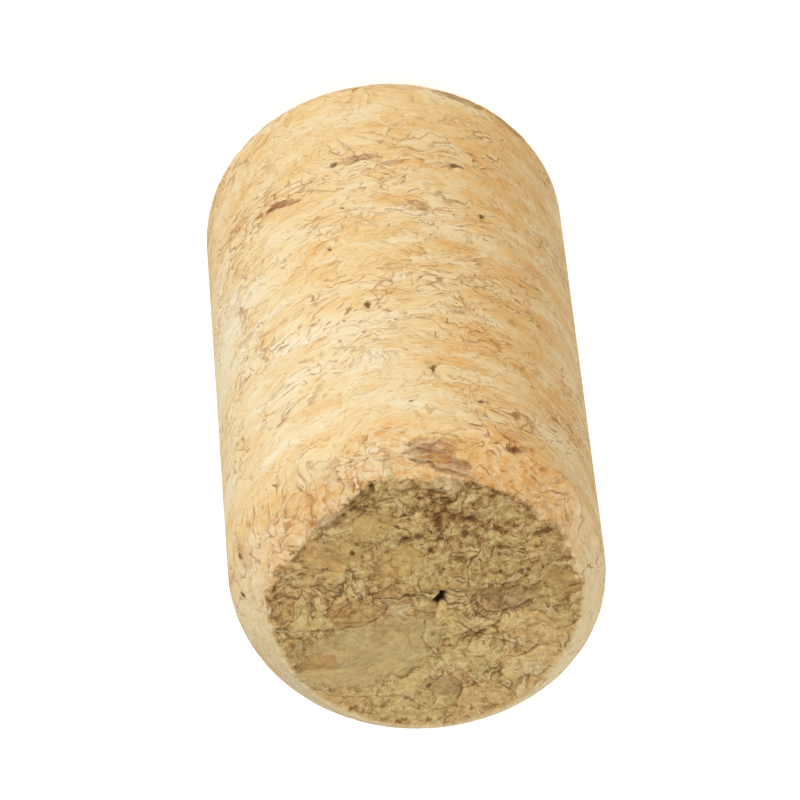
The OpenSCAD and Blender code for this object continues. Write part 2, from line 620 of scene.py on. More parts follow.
@dataclass
class Layout:
    """Works out how each point of the mesh lies to what was placed on the stopper.

    Places are in millimetres, and outward holds the directions out of the form there. Depth is
    how far below the surface a granule reaches, and far stands for a mark that isn't near.
    """

    shape: StopperShape
    places: np.ndarray
    outward: np.ndarray
    depth: float = 1.5
    far: float = 9.0

    def point(self, where: Where, across: float, up: float) -> np.ndarray:
        """Give the place on the form that across and up name.

        Args:
            where: The surface.
            across: Millimetres along X, or degrees round.
            up: Millimetres along Y, or the height.

        Returns:
            The place, in millimetres.
        """
        if where is Where.HEAD:
            return np.array([across, up, self.shape.length])
        turn = math.radians(across)
        ray = np.array([[math.sin(turn), -math.cos(turn), 0.0]])
        start = np.array([[0.0, 0.0, up]])
        return self.shape.crossing(start, ray, 0.0, self.shape.radius + 1.0)[0]

    @staticmethod
    def axes(mark: Oval) -> tuple[np.ndarray, np.ndarray]:
        """Give the directions of an oval's length and width.

        Args:
            mark: The oval.

        Returns:
            Two unit vectors.
        """
        turn = math.radians(mark.turn)
        level, rising = np.array([1.0, 0.0, 0.0]), np.array([0.0, 1.0, 0.0])
        if mark.where is Where.SIDE:
            round_side = math.radians(mark.across)
            level = np.array([math.cos(round_side), math.sin(round_side), 0.0])
            rising = np.array([0.0, 0.0, 1.0])
        along = level * math.cos(turn) + rising * math.sin(turn)
        return along, rising * math.cos(turn) - level * math.sin(turn)

    def spread(self, mark: Oval) -> tuple[np.ndarray, np.ndarray, np.ndarray, np.ndarray]:
        """Give how each point lies to an oval.

        Args:
            mark: The oval.

        Returns:
            The place along and across it in half sizes, its depth as a share of the greatest,
            and the distance from its middle.
        """
        offset = self.places - self.point(mark.where, mark.across, mark.up)
        along, across = self.axes(mark)
        distance = np.linalg.norm(offset, axis=1)
        depth = offset @ np.cross(along, across) / self.depth
        return offset @ along / (mark.length / 2), offset @ across / (mark.width / 2), depth, distance

    def granules(self, ovals: tuple[Oval, ...]) -> np.ndarray:
        """Give how far inside the nearest of some granules each point is.

        Args:
            ovals: The granules.

        Returns:
            1 in a granule's middle, 0 at its edge, and less outside it.
        """
        inside = np.full(len(self.places), -1.0)
        for mark in ovals:
            along, across, depth, distance = self.spread(mark)
            oval = 1.0 - np.sqrt(along**2 + across**2 + depth**2)
            inside = np.maximum(inside, np.where(distance < mark.length * 2, oval, -1.0))
        return inside

    def pits(self, ovals: tuple[Oval, ...]) -> np.ndarray:
        """Give how each point lies to the pit that is nearest to it.

        Args:
            ovals: The pits.

        Returns:
            The place along and across the pit in half sizes, and the distance from its middle.
        """
        nearest = np.full((len(self.places), 3), self.far)
        for mark in ovals:
            along, across, _, distance = self.spread(mark)
            closer = distance < nearest[:, 2]
            nearest[closer] = np.stack([along, across, distance], axis=1)[closer]
        return nearest

    def seams(self, seams: tuple[Seam, ...]) -> np.ndarray:
        """Give how each point lies to the seam that is nearest to it.

        Args:
            seams: The seams.

        Returns:
            The signed distance to the seam's side, the distance, and the seam's weight.
        """
        nearest = np.full((len(self.places), 3), self.far)
        for seam in seams:
            points = [self.point(seam.where, across, up) for across, up in seam.points]
            for start, end in zip(points, points[1:]):
                reach = end - start
                offset = self.places - start
                share = np.clip(offset @ reach / (reach @ reach), 0.0, 1.0)
                distance = np.linalg.norm(offset - share[:, None] * reach, axis=1)
                aside = np.cross(self.outward, reach / np.linalg.norm(reach))
                signed = np.sum(offset * aside, axis=1)
                weight = np.full(len(offset), seam.weight)
                closer = distance < nearest[:, 1]
                nearest[closer] = np.stack([signed, distance, weight], axis=1)[closer]
        return nearest

    def tones(self, tones: tuple[Tone, ...]) -> np.ndarray:
        """Give the sum of some soft changes at each point.

        Args:
            tones: The changes.

        Returns:
            The sum for each point.
        """
        total = np.zeros(len(self.places))
        for tone in tones:
            offset = self.places - self.point(tone.where, tone.across, tone.up)
            total += tone.amount * np.exp(-np.sum(offset * offset, axis=1) / tone.reach**2)
        return total

    def rim(self) -> np.ndarray:
        """Give the distance from the edge of the nearer end face.

        Returns:
            The distance for each point: above 0 on the face, and below 0 off it.
        """
        x, y, height = self.places.T
        radius, direction = np.hypot(x, y), np.arctan2(y, x)
        head = height > self.shape.length / 2
        edge = np.where(head, self.shape.face_edge(direction, True), self.shape.face_edge(direction, False))
        end = np.where(head, self.shape.length - height, height)
        flush = 0.01
        return np.where(end < flush, edge - radius, -np.hypot(edge - radius, end))


@dataclass
class ReliefModifier:
    """Sinks the grooves between granules and the roughness of the cut faces into the mesh.

    Depths and widths are in millimetres. A zone is where something starts: a pair of distances
    from the edge of an end face, of places along Y for the front, or of levels of the noise.
    """

    granules: GranuleGroup
    groove_width: float = 0.3
    groove_share: Pair = (0.15, 1.0)
    side_groove: float = 0.03
    face_groove: float = 0.14
    face_crumbs: float = 0.16
    face_crumbs_behind: float = 0.3
    bevel_crumbs: float = 0.12
    bevel_crumbs_behind: float = 0.2
    rough: Lumps = Lumps(0.95, 3.0, 0.62, (1.0, 2.0, 8.0))
    rough_zone: Pair = (0.36, 0.72)
    face_zone: Pair = (-0.1, 0.25)
    bevel_zone: Pair = (-3.4, -1.6)
    off_face_zone: Pair = (0.0, -0.35)
    front_zone: Pair = (5.0, -2.0)

    def build(self) -> bpy.types.NodeTree:
        """Build the modifier's node tree.

        Returns:
            The tree, which moves each point straight in and keeps it inside the solid's size.
        """
        tree = bpy.data.node_groups.new("granule relief", TreeKind.GEOMETRY.value)
        for direction in ("INPUT", "OUTPUT"):
            tree.interface.new_socket("Geometry", in_out=direction, socket_type="NodeSocketGeometry")
        nodes = Nodes(tree)
        entry = nodes.add("NodeGroupInput")
        leave = nodes.add("NodeGroupOutput")
        place = self.kept(nodes, "rest", "FLOAT_VECTOR")
        rim = self.kept(nodes, "rim", "FLOAT")
        pattern = self.granules.build(TreeKind.GEOMETRY)
        group = nodes.add("GeometryNodeGroup", {"Position": place}, node_tree=pattern)

        face = nodes.ramp(rim, *self.face_zone)
        bevel = nodes.times(nodes.ramp(rim, *self.bevel_zone), nodes.ramp(rim, *self.off_face_zone))
        front = nodes.ramp(nodes.split(place)[1], *self.front_zone)
        groove = nodes.times(
            nodes.ramp(group.outputs["Border"], self.groove_width, 0.0),
            nodes.blend(self.granules.uneven(nodes, place), *self.groove_share),
            nodes.blend(face, self.side_groove, self.face_groove),
        )
        face_share = nodes.times(nodes.blend(front, self.face_crumbs_behind, 1.0), self.face_crumbs)
        bevel_share = nodes.times(nodes.blend(front, self.bevel_crumbs_behind, 1.0), self.bevel_crumbs)
        share = nodes.plus(nodes.times(face, face_share), nodes.times(bevel, bevel_share))
        crumbs = nodes.times(nodes.ramp(nodes.noise(place, self.rough), *self.rough_zone), share)

        depth = nodes.plus(nodes.plus(groove, crumbs), self.kept(nodes, "opening", "FLOAT"))
        inward = nodes.scaled(self.kept(nodes, "outward", "FLOAT_VECTOR"), nodes.times(depth, -MM))
        moved = nodes.add("GeometryNodeSetPosition", {"Geometry": entry.outputs[0], "Offset": inward})
        nodes.plug(leave.inputs[0], moved.outputs["Geometry"])
        return tree

    @staticmethod
    def kept(nodes: Nodes, name: str, kind: str) -> Socket:
        """Read what is kept at the mesh's points under a name."""
        return nodes.add("GeometryNodeInputNamedAttribute", {"Name": name}, data_type=kind).outputs[0]


@dataclass
class StopperBody:
    """Builds the visible mesh of the stopper.

    Columns is the number of cuts across each side of the mesh. Foot rows and head rows are the
    shares of its rows that the bevels have. The margin and the limit are in millimetres.
    """

    shape: StopperShape
    solid: bpy.types.Object
    columns: int = 94
    foot_rows: float = 0.09
    head_rows: float = 0.13
    end_margin: float = 6.0
    sink_limit: float = 1.2

    def block(self) -> bmesh.types.BMesh:
        """Make a cube from -1 to 1 whose faces are fine grids, finer from foot to head.

        Returns:
            The cube.
        """
        form = bmesh.new()
        bmesh.ops.create_cube(form, size=2.0)
        upright = [e for e in form.edges if abs(e.verts[0].co.z - e.verts[1].co.z) > 1.0]
        bmesh.ops.subdivide_edges(form, edges=upright, cuts=1)
        bmesh.ops.subdivide_edges(form, edges=form.edges[:], cuts=self.columns, use_grid_fill=True)
        return form

    def wrapped(self, block: np.ndarray) -> np.ndarray:
        """Wrap the block's points onto the ground form.

        Args:
            block: Points of the block.

        Returns:
            The places of the same points on the stopper, in millimetres.
        """
        x, y, z = block.T
        ring = np.maximum(np.abs(x), np.abs(y))
        flat = np.where(ring > 0, ring, 1.0)
        wide = np.abs(x) >= np.abs(y)
        turn = np.where(wide, y / flat, x / flat) * math.pi / 4
        along = np.where(wide, np.sign(x), np.sign(y))
        unit_x = np.where(wide, along * np.cos(turn), np.sin(turn))
        unit_y = np.where(wide, np.sin(turn), along * np.cos(turn))
        direction = np.arctan2(unit_y, unit_x)

        shape = self.shape
        head_edge = shape.face_edge(direction, True)
        foot_edge = shape.face_edge(direction, False)
        drop = (shape.radius - head_edge) * math.tan(shape.slope)
        share = (z + 1) / 2
        from_foot = np.clip(share / self.foot_rows, 0.0, 1.0)
        from_head = np.clip((1 - share) / self.head_rows, 0.0, 1.0)
        between = np.clip((share - self.foot_rows) / (1 - self.foot_rows - self.head_rows), 0.0, 1.0)
        barrel = shape.length - drop - shape.bevel_length
        height = shape.bevel_length * from_foot + barrel * between + drop * (1 - from_head)
        radius = np.minimum(
            foot_edge + (shape.radius - foot_edge) * from_foot,
            head_edge + (shape.radius - head_edge) * from_head,
        )
        tiny = 1e-6
        on_side = ring > 1 - tiny
        radius = np.where(on_side, radius, ring * np.where(z > 0, head_edge, foot_edge))
        height = np.where(on_side, height, np.where(z > 0, shape.length, 0.0))
        places = np.stack([unit_x * radius, unit_y * radius, height], axis=1)
        places[on_side] = self.drawn_in(places[on_side])
        return places

    def drawn_in(self, places: np.ndarray) -> np.ndarray:
        """Bring points near the form's side onto it, towards its axis.

        Args:
            places: The points, in millimetres.

        Returns:
            The points on the form.
        """
        anchors = places * (0.0, 0.0, 1.0)
        anchors[:, 2] = np.clip(anchors[:, 2], self.end_margin, self.shape.length - self.end_margin)
        nearest, farthest = 0.6, 1.2
        return self.shape.crossing(anchors, places - anchors, nearest, farthest)

    def openings(self, places: np.ndarray, outward: np.ndarray) -> np.ndarray:
        """Feel how deep the solid's openings and chips are below each point.

        Args:
            places: Points on the plain ground form, in millimetres.
            outward: Unit vectors that point straight out of it there.

        Returns:
            The depth at each point, in millimetres, and 0 where the solid is whole.
        """
        tree = BVHTree.FromObject(self.solid, bpy.context.evaluated_depsgraph_get())
        above = 0.3
        flat_facet = 0.04
        depth = np.zeros(len(places))
        for index, (place, out) in enumerate(zip(places, outward, strict=True)):
            start = Vector((place + out * above) * MM)
            hit = tree.ray_cast(start, Vector(-out), (above + self.sink_limit) * MM)
            if hit[0] is not None:
                depth[index] = max(0.0, hit[3] / MM - above - flat_facet)
        return depth

    def build(self, relief: ReliefModifier, marks: Marks) -> bpy.types.Object:
        """Build the mesh, keep what the material reads at its points, and sink the relief.

        Args:
            relief: What sinks the grooves.
            marks: What was placed on the stopper.

        Returns:
            The piece, in metres, in the solid's place.
        """
        form = self.block()
        places = self.wrapped(np.array([v.co for v in form.verts]))
        for vert, place in zip(form.verts, places, strict=True):
            vert.co = Vector(place * MM)
        bmesh.ops.recalc_face_normals(form, faces=form.faces[:])
        form.normal_update()
        outward = np.array([v.normal for v in form.verts])
        for face in form.faces:
            face.smooth = True
        mesh = bpy.data.meshes.new("cork_body")
        form.to_mesh(mesh)
        form.free()
        piece = bpy.data.objects.new("cork_body", mesh)
        bpy.context.scene.collection.objects.link(piece)

        layout = Layout(self.shape, places, outward)
        kept = {
            "rest": places,
            "outward": outward,
            "rim": layout.rim(),
            "opening": self.openings(places, outward),
            "pit_shade": layout.pits(marks.pits),
            "seam": layout.seams(marks.seams),
            "tone": layout.tones(marks.tones),
            "crumbs": layout.tones(marks.crumbs),
        }
        kept |= {kind.value: layout.granules(marks.granules[kind]) for kind in GranuleKind}
        for name, values in kept.items():
            self.keep(mesh, name, values)

        modifier = piece.modifiers.new("granule relief", "NODES")
        modifier.node_group = relief.build()
        sunk = piece.evaluated_get(bpy.context.evaluated_depsgraph_get())
        piece.data = bpy.data.meshes.new_from_object(sunk)
        piece.modifiers.clear()
        return piece

    @staticmethod
    def keep(mesh: bpy.types.Mesh, name: str, values: np.ndarray) -> None:
        """Keep one number or one vector for each point of a mesh.

        Args:
            mesh: The mesh.
            name: The name that it is kept under.
            values: A number or three for each point.
        """
        kind, slot = ("FLOAT_VECTOR", "vector") if values.ndim == 2 else ("FLOAT", "value")
        kept = mesh.attributes.new(name, kind, "POINT")
        kept.data.foreach_set(slot, values.astype(np.float32).ravel())


@dataclass(frozen=True)
class GrowthLines:
    """The fine growth lines of the cork, which run through each granule in its own way.

    Scale, stretch and count are for the side and for an end face, and a zone is a pair of
    levels between which something starts.
    """

    scale: Pair = (1.0, 1.7)
    stretch: Pair = (3.4, 1.5)
    count: Pair = (11.0, 13.0)
    wave: Lumps = Lumps(6.0, 2.5, 0.5)
    gaps: Lumps = Lumps(1.5, 2.0, 0.6, (9.0, 1.0, 3.0))
    gap_zone: Pair = (0.32, 0.66)
    line_zone: Pair = (0.55, 1.0)
    # the crest is a pale line beside each dark line: a painted highlight
    crest_highlight_zone: Pair = (0.4, 0.0)
    apart: float = 40.0

    def build(self) -> bpy.types.NodeTree:
        """Build the group.

        Returns:
            The group. Its outputs are how far a place is on a dark line and on the pale crest beside it, a
            painted highlight.
        """
        nodes, given, leave = new_group(
            "growth lines",
            TreeKind.SHADER,
            {
                "Place": SocketKind.VECTOR,
                "Chance": SocketKind.COLOUR,
                "Stretch": SocketKind.NUMBER,
                "Count": SocketKind.NUMBER,
            },
            {"Line": SocketKind.NUMBER, "Crest": SocketKind.NUMBER},
        )
        x, y, z = nodes.split(given["Place"])
        lean_x, lean_y, _ = nodes.split(nodes.vector("SUBTRACT", given["Chance"], (0.5, 0.5, 0.5)))
        level = nodes.times_plus(y, lean_y, nodes.times_plus(x, lean_x, z))
        layers = nodes.join(x, y, nodes.times(level, given["Stretch"]))
        layers = nodes.vector("ADD", layers, nodes.scaled(given["Chance"], self.apart))
        steps = nodes.math("FRACT", nodes.times(nodes.noise(layers, self.wave), given["Count"]))
        whole = nodes.ramp(nodes.noise(layers, self.gaps), *self.gap_zone)
        nodes.plug(leave.inputs["Line"], nodes.times(nodes.ramp(steps, *self.line_zone), whole))
        nodes.plug(leave.inputs["Crest"], nodes.times(nodes.ramp(steps, *self.crest_highlight_zone), whole))
        return nodes.tree


@dataclass(frozen=True)
class CorkGrain:
    """The noises that the material is worked out from, with sizes in millimetres.

    A zone is a pair of levels of a noise between which something starts. A dash shows where its
    own noise is above the dash level, which falls where the cork is patchy.
    """

    grit: Lumps = Lumps(0.5, 3.0, 0.65, (2.0, 7.0, 5.0))
    sand: Lumps = Lumps(0.26, 2.0, 0.6, (5.0, 5.0, 2.0))
    wobble: Lumps = Lumps(0.8, 2.0, 0.6, (8.0, 8.0, 1.0))
    streak: Lumps = Lumps(4.2, 4.0, 0.6, (4.0, 4.0, 4.0), 2.6)
    fibre: Lumps = Lumps(1.1, 3.0, 0.65, (0.0, 3.0, 1.0), 4.5)
    cluster: Lumps = Lumps(5.0, 1.0, 0.5, (3.0, 9.0, 2.0))
    cluster_zone: Pair = (0.36, 0.62)
    cluster_on_bevel: float = 0.75
    patchy: Lumps = Lumps(2.4, 2.0, 0.6, (6.0, 2.0, 1.0))
    fleck_zone: Pair = (0.34, 0.58)
    fleck_share: Pair = (0.5, 1.0)
    calm_zone: Pair = (0.0, 0.3)
    calm_share: Pair = (1.0, 0.5)
    dash: Lumps = Lumps(0.42, 1.0, 0.5, (5.0, 0.0, 2.0), 2.6)
    dash_zone: Pair = (-0.015, 0.035)
    dash_patchy_zone: Pair = (0.4, 0.7)
    dash_level: Pair = (0.83, 0.64)
    crumb_width: float = 0.74
    crumb_shake: Lumps = Lumps(0.9, 1.0, 0.5, (2.0, 0.0, 6.0))
    crumb_shake_reach: float = 1.1
    crumb_gap_zone: Pair = (0.3, 0.62)
    crumbly_zone: Pair = (0.3, 0.6)
    crumbly_least: float = 0.15


@dataclass(frozen=True)
class RimWear:
    """Where the end faces, the bevels and the worn front start, in millimetres.

    A zone is a pair of places between which it starts: distances from the edge of an end face,
    or places along Y for the front. Ragged is how uneven the edge is behind and in front, and
    heights are for the side and for an end face.
    """

    front_zone: Pair = (3.5, -3.0)
    wobble: float = 2.4
    ragged: Pair = (0.12, 0.8)
    inset_behind: float = 0.2
    face_zone: Pair = (-0.14, 0.14)
    face_colour_zone: Pair = (-0.34, 0.22)
    bevel_zone: Pair = (-3.5, -1.7)
    end_share_of_bevel: float = 0.24
    bump_zone: Pair = (-2.6, 0.2)
    grit_height: Pair = (0.03, 0.16)
    crumb_gap_height: Pair = (0.0, -0.1)


@dataclass(frozen=True)
class SideFinish:
    """The colours of the side and the bevels, and how far each noise changes them.

    Grit and sand are for the plain side and the rough bevel, and the shares of lines and of the painted
    crest highlights beside them for places where few lines show and where many do.
    """

    stops: tuple[tuple[float, Colour], ...] = (
        (0.0, linear(251, 235, 199)),
        (0.3, linear(248, 220, 167)),
        (0.52, linear(243, 205, 143)),
        (0.75, linear(238, 186, 112)),
        (1.0, linear(226, 162, 86)),
    )
    streak: float = 1.1
    fibre: float = 0.64
    ground: float = -0.43
    shade: float = 0.24
    grit: Pair = (0.3, 0.9)
    sand: Pair = (0.1, 0.9)
    line: Colour = linear(168, 110, 58)
    line_share: Pair = (0.34, 1.0)
    # painted highlight laid beside the growth lines
    crest: Colour = linear(251, 235, 199)
    crest_highlight_share: Pair = (0.2, 0.5)
    dash_share: float = 0.42
    bevel_stain: Colour = linear(250, 247, 250)
    # The far-side bevel is painted paler: painted light that offsets the shade there.
    bevel_painted_light: Colour = linear(250, 230, 186)
    painted_light_zone: Pair = (0.7, 0.3)
    painted_light_share: Pair = (0.5, 0.8)
    stained_zone: Pair = (1.0, -6.5)


@dataclass(frozen=True)
class FaceFinish:
    """The colours of the cut end faces, and how far each noise changes them.

    The pair of grit is for behind and in front.
    """

    stops: tuple[tuple[float, Colour], ...] = (
        (0.0, linear(233, 205, 141)),
        (0.34, linear(214, 181, 118)),
        (0.6, linear(195, 158, 99)),
        (0.84, linear(160, 119, 70)),
        (1.0, linear(126, 85, 45)),
    )
    ground: float = 0.4
    patchy: float = 0.36
    shade: float = 0.36
    shade_ground: float = -0.17
    grit: Pair = (1.2, 1.6)
    sand: float = 1.3
    crumb_shade: float = 0.46
    crumb_ground: float = -0.4
    crumb_gap: float = 0.46
    rosy: Colour = linear(255, 250, 249)
    mossy: Colour = linear(251, 254, 248)
    hue_zone: Pair = (0.3, 0.7)
    line: Colour = linear(120, 84, 44)
    line_share: float = 0.7
    # painted highlight beside the growth lines and the seams
    crest: Colour = linear(236, 214, 164)
    crest_highlight_share: float = 0.62
    dash_share: float = 0.7


@dataclass(frozen=True)
class BorderFinish:
    """The dark borders between granules.

    Width is in millimetres where they show least and most. The other pairs are for the side
    and the end faces.
    """

    width: Pair = (0.045, 0.15)
    least: Pair = (0.08, 0.45)
    most: Pair = (0.8, 0.95)
    where_few_lines: float = 0.25


@dataclass(frozen=True)
class MarkFinish:
    """The colours of the small dark marks, among them the painted shade of the pits and the openings and
    the painted highlight beside the seams, and how the grain bends them.
    """

    fleck: Colour = linear(140, 92, 54)
    # the pits' colour: painted shade of small holes, and of the openings on the side
    pit_shade: Colour = linear(104, 60, 28)
    # painted shade in the openings of the end faces
    hollow_shade: Colour = linear(46, 26, 12)
    pit_wobble: float = 1.6
    pit_grit: float = 2.4
    pit_zone: Pair = (1.3, 0.3)
    pit_reach: Pair = (1.4, 1.0)
    pit_share: float = 0.85
    hollow_shade_grit: float = 0.7
    hollow_shade_zone: Pair = (0.26, 0.6)
    seam_wobble: float = 0.7
    seam_grit: float = 0.3
    seam_reach: Pair = (0.4, 0.2)
    seam_core: float = 0.02
    seam_width: float = 0.05
    seam_width_by_weight: float = 0.09
    seam_gap_zone: Pair = (0.6, 0.34)
    seam_on_side: float = 0.6
    # a pale line beside each seam: a painted highlight
    lip_highlight_aside: float = 0.14
    lip_highlight_zone: Pair = (0.11, 0.03)
    lip_highlight_share: float = 0.34


@dataclass(frozen=True)
class GranuleEdge:
    """How the edge of a granule that stands out fades and bends.

    Places run from -1, far outside a granule, to 1 in its middle. Feather, start and end are
    for the side and for an end face.
    """

    wobble: float = 1.1
    feather: Pair = (-1.2, 0.0)
    start: Pair = (-0.25, -0.04)
    end: Pair = (0.25, 0.1)
    fibre_zone: Pair = (0.34, 0.62)
    outline_zone: Pair = (-0.06, 0.02)
    outline_end: Pair = (0.1, 0.03)


@dataclass(frozen=True)
class GranuleTint:
    """How the granules of one kind are coloured.

    Share is how far the colour covers them, on side how much of that is left away from the
    ends, and outline how dark their edge is on an end face.
    """

    kind: GranuleKind
    colour: Colour
    share: float
    blend: Blend
    outline: float
    on_side: float = 1.0


GRANULE_TINTS = (
    GranuleTint(GranuleKind.MOSS, linear(202, 179, 125), 0.6, Blend.COVER, 0.4),
    GranuleTint(GranuleKind.PALE, linear(246, 224, 174), 0.5, Blend.COVER, 0.3, 0.5),
    GranuleTint(GranuleKind.OCHRE, linear(252, 238, 216), 0.55, Blend.STAIN, 0.4, 0.5),
    GranuleTint(GranuleKind.HONEY, linear(232, 182, 100), 0.7, Blend.COVER, 0.3),
    GranuleTint(GranuleKind.UMBER, linear(238, 222, 210), 0.95, Blend.STAIN, 0.2),
    GranuleTint(GranuleKind.BARK, linear(190, 172, 160), 1.0, Blend.STAIN, 0.3),
    GranuleTint(GranuleKind.ROSE, linear(216, 204, 212), 1.0, Blend.STAIN, 0.5),
    GranuleTint(GranuleKind.ASH, linear(196, 178, 174), 0.8, Blend.STAIN, 0.1),
    GranuleTint(GranuleKind.RUST, linear(152, 92, 60), 0.9, Blend.COVER, 0.2),
)


@dataclass
class CorkMaterial:
    """The cork material of the whole stopper, which reads what the mesh keeps, in millimetres."""

    granules: GranuleGroup
    growth: GrowthLines = GrowthLines()
    grain: CorkGrain = CorkGrain()
    wear: RimWear = RimWear()
    side: SideFinish = SideFinish()
    face: FaceFinish = FaceFinish()
    borders: BorderFinish = BorderFinish()
    edge: GranuleEdge = GranuleEdge()
    marks: MarkFinish = MarkFinish()
    shine: float = 0.18
    roughness_zone: Pair = (0.2, 0.8)
    roughness: Pair = (0.74, 0.92)

    def __post_init__(self) -> None:
        """Start the material, and work out what several of its parts read."""
        self.material = bpy.data.materials.new("pressed cork")
        self.nodes = nodes = cleared(self.material)
        self.place = place = self.kept("rest", "Vector")
        self.y = nodes.split(place)[1]
        self.tone = self.kept("tone")
        grain = self.grain
        self.grit = nodes.noise(place, grain.grit)
        self.specks = nodes.centred(self.grit)
        self.sand = nodes.centred(nodes.noise(place, grain.sand))
        self.wobble = nodes.centred(nodes.noise(place, grain.wobble))
        self.fibre = nodes.noise(place, grain.fibre)
        self.patchy = nodes.noise(place, grain.patchy)
        pattern = self.granules.build(TreeKind.SHADER)
        self.granule = nodes.add("ShaderNodeGroup", {"Position": place}, node_tree=pattern).outputs
        self.shade = nodes.chance(self.granule["Chance"], Draw.SHADE)
        self.find_ends()
        self.find_lines()
        self.find_crumbs()

    def kept(self, name: str, output: str = "Fac") -> Socket:
        """Read what is kept at the mesh's points under a name."""
        return self.nodes.add("ShaderNodeAttribute", {}, attribute_name=name).outputs[output]

    def find_ends(self) -> None:
        """Work out which places are in front, on an end face and on a bevel."""
        nodes, wear = self.nodes, self.wear
        self.front = nodes.ramp(self.y, *wear.front_zone)
        jag = nodes.centred(nodes.chance(self.granule["Chance"], Draw.JAG))
        ragged = nodes.plus(nodes.times_plus(self.wobble, wear.wobble, jag), self.specks)
        ragged = nodes.times(ragged, nodes.blend(self.front, *wear.ragged))
        inset = nodes.times_plus(self.front, wear.inset_behind, -wear.inset_behind)
        self.rim = nodes.plus(nodes.plus(self.kept("rim"), ragged), inset)
        self.on_face = nodes.ramp(self.rim, *wear.face_zone)
        off_face = nodes.math("SUBTRACT", 1.0, self.on_face)
        self.on_bevel = nodes.times(nodes.ramp(self.rim, *wear.bevel_zone), off_face)
        self.on_rough_bevel = nodes.times(self.on_bevel, self.front)
        rough_bevel_share = nodes.times(self.on_rough_bevel, wear.end_share_of_bevel)
        self.on_end = nodes.larger(self.on_face, rough_bevel_share)

    def find_lines(self) -> None:
        """Work out the growth lines, where they fade or crowd, and the short dark dashes."""
        nodes, grain, growth = self.nodes, self.grain, self.growth
        self.flecked = nodes.ramp(self.grit, *grain.fleck_zone, *grain.fleck_share)
        smooth = nodes.times(self.kept(GranuleKind.OCHRE.value), self.on_face)
        for kind in (GranuleKind.MOSS, GranuleKind.ROSE, GranuleKind.UMBER):
            smooth = nodes.larger(smooth, self.kept(kind.value))
        self.calm = nodes.ramp(smooth, *grain.calm_zone, *grain.calm_share)
        self.faint = nodes.times(self.flecked, self.calm)
        lines = nodes.add(
            "ShaderNodeGroup",
            {
                "Place": nodes.scaled(self.granule["Place"], nodes.blend(self.on_face, *growth.scale)),
                "Chance": self.granule["Chance"],
                "Stretch": nodes.blend(self.on_face, *growth.stretch),
                "Count": nodes.blend(self.on_face, *growth.count),
            },
            node_tree=growth.build(),
        )
        self.line = nodes.times(lines.outputs["Line"], self.faint)
        # The crest beside each line is a painted highlight.
        self.crest = nodes.times(lines.outputs["Crest"], self.calm)
        cluster = nodes.ramp(nodes.noise(self.place, grain.cluster), *grain.cluster_zone)
        bevel_cluster = nodes.times(self.on_rough_bevel, grain.cluster_on_bevel)
        self.many_lines = nodes.larger(cluster, bevel_cluster)
        dash = nodes.noise(self.place, grain.dash)
        level = nodes.ramp(self.patchy, *grain.dash_patchy_zone, *grain.dash_level)
        self.dash = nodes.ramp(nodes.math("SUBTRACT", dash, level), *grain.dash_zone)

    def find_crumbs(self) -> None:
        """Work out the crumbs of the cut faces, with the gaps between them."""
        nodes, grain = self.nodes, self.grain
        shake = nodes.scaled(nodes.noise(self.place, grain.crumb_shake, "Color"), grain.crumb_shake_reach)
        self.crumb = nodes.cells(nodes.vector("ADD", self.place, shake), grain.crumb_width).outputs
        self.gap = nodes.ramp(self.crumb["Distance"], *grain.crumb_gap_zone)
        crumbly = nodes.ramp(self.patchy, *grain.crumbly_zone)
        self.crumbly = nodes.times_plus(crumbly, self.kept("crumbs"), grain.crumbly_least)

    def side_colour(self) -> Socket:
        """Work out the colour of the side and the bevels.

        Returns:
            The colour.
        """
        nodes, side = self.nodes, self.side
        level = nodes.times_plus(self.fibre, side.fibre, side.ground)
        level = nodes.times_plus(nodes.noise(self.place, self.grain.streak), side.streak, level)
        level = nodes.times_plus(nodes.centred(self.shade), side.shade, level)
        level = nodes.plus(level, self.tone)
        level = nodes.times_plus(self.specks, nodes.blend(self.on_rough_bevel, *side.grit), level)
        level = nodes.times_plus(self.sand, nodes.blend(self.on_rough_bevel, *side.sand), level)
        colour = nodes.palette(nodes.larger(level, 0.0), side.stops)
        line = nodes.times(self.line, nodes.blend(self.many_lines, *side.line_share))
        colour = nodes.tint(line, colour, side.line)
        # Painted highlight beside the growth lines.
        crest = nodes.times(self.crest, nodes.blend(self.many_lines, *side.crest_highlight_share))
        colour = nodes.tint(crest, colour, side.crest)
        colour = nodes.tint(nodes.times(self.dash, side.dash_share), colour, self.marks.fleck)

        # The far-side bevel gets a paler colour in patches that follow the fibre: painted light that
        # offsets its shade. The front bevel is only stained.
        stained = nodes.tint(1.0, colour, side.bevel_stain, Blend.STAIN)
        painted_light_share = nodes.ramp(self.fibre, *side.painted_light_zone, *side.painted_light_share)
        painted_light_bevel = nodes.tint(painted_light_share, colour, side.bevel_painted_light)
        bevel = nodes.tint(nodes.ramp(self.y, *side.stained_zone), painted_light_bevel, stained)
        return nodes.tint(self.on_bevel, colour, bevel)

